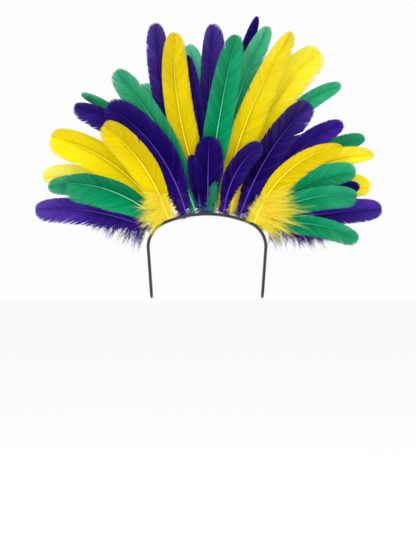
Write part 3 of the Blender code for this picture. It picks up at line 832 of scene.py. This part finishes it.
def feather(row, number, material):
    """One feather: its rachis, both sides of its vane, the down at its foot and its tufts."""
    rng = np.random.default_rng(SEED + number)
    shell = Shell()
    add_rachis(shell, row)
    for side, width, down in ((1, row.left, row.down_left), (-1, row.right, row.down_right)):
        add_vane(shell, row, side, rng)
        reach = FOOT_REACH * width * BROADEST_HALF_VANE + min(down, FOOT_DOWN_MOST) * DOWN_REACH
        start = -0.9 * spine_of(row).bare
        foot = Tuft(
            row.name, side, start, end=0.11, reach=reach, low=-0.25, high=1.0, locks=FOOT_LOCKS, lift=0.0005
        )
        add_tuft(shell, row, foot, rng)
    for tuft in TUFTS:
        if tuft.feather == row.name:
            add_tuft(shell, row, tuft, rng)
    piece = shell.finish(row.name + "_barbs", material)
    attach(piece, "root")
    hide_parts(row.name)
    row.dye + "_feather"


def band_material():
    """Matte woven cloth: two sets of fine threads that pass over and under each other."""
    board = Board("band_cloth", {"Roughness": 0.9, "Sheen Weight": 0.2})
    cloth = board.node("ShaderNodeUVMap", {"uv_map": "barbs"}, {})
    warp = board.node("ShaderNodeSeparateXYZ", {}, {0: cloth}, output=0)
    weft = board.node("ShaderNodeSeparateXYZ", {}, {0: cloth}, output=1)
    weave = warp.sine() * weft.sine() * 0.5 + 0.5
    between_threads = solid((0.008, 0.008, 0.010))
    on_threads = solid((0.035, 0.034, 0.038))
    board.feed("Base Color", board.mix(weave, between_threads, on_threads))
    board.feed("Normal", board.bump(0.5, weave))
    return board.material


def band(material):
    """The padded band: a section with soft corners carried along the band's line, narrowed to round ends."""
    half_length = CROWN_RADIUS * math.radians(CROWN_TURN)
    half_length += SHOULDER_RADIUS * math.radians(LEG_TURN - CROWN_TURN) + LEG_LENGTH
    stops = np.linspace(-half_length, half_length, COVER_SECTIONS)
    past = np.maximum(np.abs(stops) - (half_length - END_ROUNDING), 0.0) / END_ROUNDING
    narrow = np.sqrt(np.maximum(1 - past**2, LEAST_END))
    line = np.array([band_point(stop) for stop in stops])
    out = np.column_stack([np.sin(line[:, 2]), np.zeros(len(stops)), np.cos(line[:, 2])])
    middle = in_space(line[:, :2], 0.0) + out * BAND_THICKNESS / 2
    angle = np.arange(COVER_CORNERS) / COVER_CORNERS * 2 * math.pi
    wide = np.sign(np.sin(angle)) * np.abs(np.sin(angle)) ** SIDE_POWER * BAND_WIDTH / 2
    deep = np.sign(np.cos(angle)) * np.abs(np.cos(angle)) ** FACE_POWER * BAND_THICKNESS / 2
    rings = middle[:, None, :] + out[:, None, :] * deep[None, :, None] * narrow[:, None, None] ** THIN_POWER
    rings = rings + np.array([0.0, 1.0, 0.0]) * (wide[None, :] * narrow[:, None])[..., None]
    shell = Shell()
    mapped = np.stack(np.broadcast_arrays(stops[:, None] * WEAVE, wide[None, :] * WEAVE), -1)[None]
    shell.add(rings[None], mapped)
    piece = shell.finish("band_cover", material)
    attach(piece, "root")
    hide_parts("headband")


def lamp(row):
    """A square soft light that faces the lamps' target."""
    data = bpy.data.lights.new(row.name, "AREA")
    data.size = row.size
    data.energy = row.power
    light = bpy.data.objects.new(row.name, data)
    light.location = row.place
    aim = np.array(LAMP_TARGET) - np.array(row.place)
    light.rotation_euler = (math.acos(-aim[2] / np.linalg.norm(aim)), 0.0, math.atan2(-aim[0], aim[1]))
    bpy.context.scene.collection.objects.link(light)


def studio():
    """A pale floor and surround, a large soft light from the upper left and a weaker one opposite."""
    corners = ((-1, -1), (1, -1), (1, 1), (-1, 1))
    points = [(x * FLOOR_HALF_WIDTH, y * FLOOR_HALF_WIDTH, FLOOR_Z) for x, y in corners]
    mesh = bpy.data.meshes.new("floor")
    mesh.from_pydata(points, [], [(0, 1, 2, 3)])
    mesh.materials.append(Board("pale_floor", {"Roughness": 0.9, "Base Color": FLOOR_TONE}).material)
    floor = bpy.data.objects.new("floor", mesh)
    bpy.context.scene.collection.objects.link(floor)

    world = bpy.data.worlds.new("surround")
    world.use_nodes = True
    background = world.node_tree.nodes["Background"]
    background.inputs["Color"].default_value = SURROUND_TONE
    background.inputs["Strength"].default_value = SURROUND_STRENGTH
    bpy.context.scene.world = world
    for row in LAMPS:
        lamp(row)


def camera():
    """A level camera whose lens gives the pixel's width at the fan's plane."""
    data = bpy.data.cameras.new("camera")
    data.sensor_fit = "HORIZONTAL"
    data.sensor_width = SENSOR_WIDTH
    data.lens = SENSOR_WIDTH * -CAMERA_PLACE[1] / (IMAGE_WIDTH * PIXEL)
    eye = bpy.data.objects.new("camera", data)
    eye.location = CAMERA_PLACE
    eye.rotation_euler = (math.pi / 2, 0.0, 0.0)
    bpy.context.scene.collection.objects.link(eye)
    bpy.context.scene.camera = eye


camera()
studio()
bpy.context.scene.view_settings.view_transform = "Standard"
band(band_material())
materials = {name: feather_material(name) for name in DYES}
for number, row in enumerate(FEATHERS):
    feather(row, number, materials[row.dye])
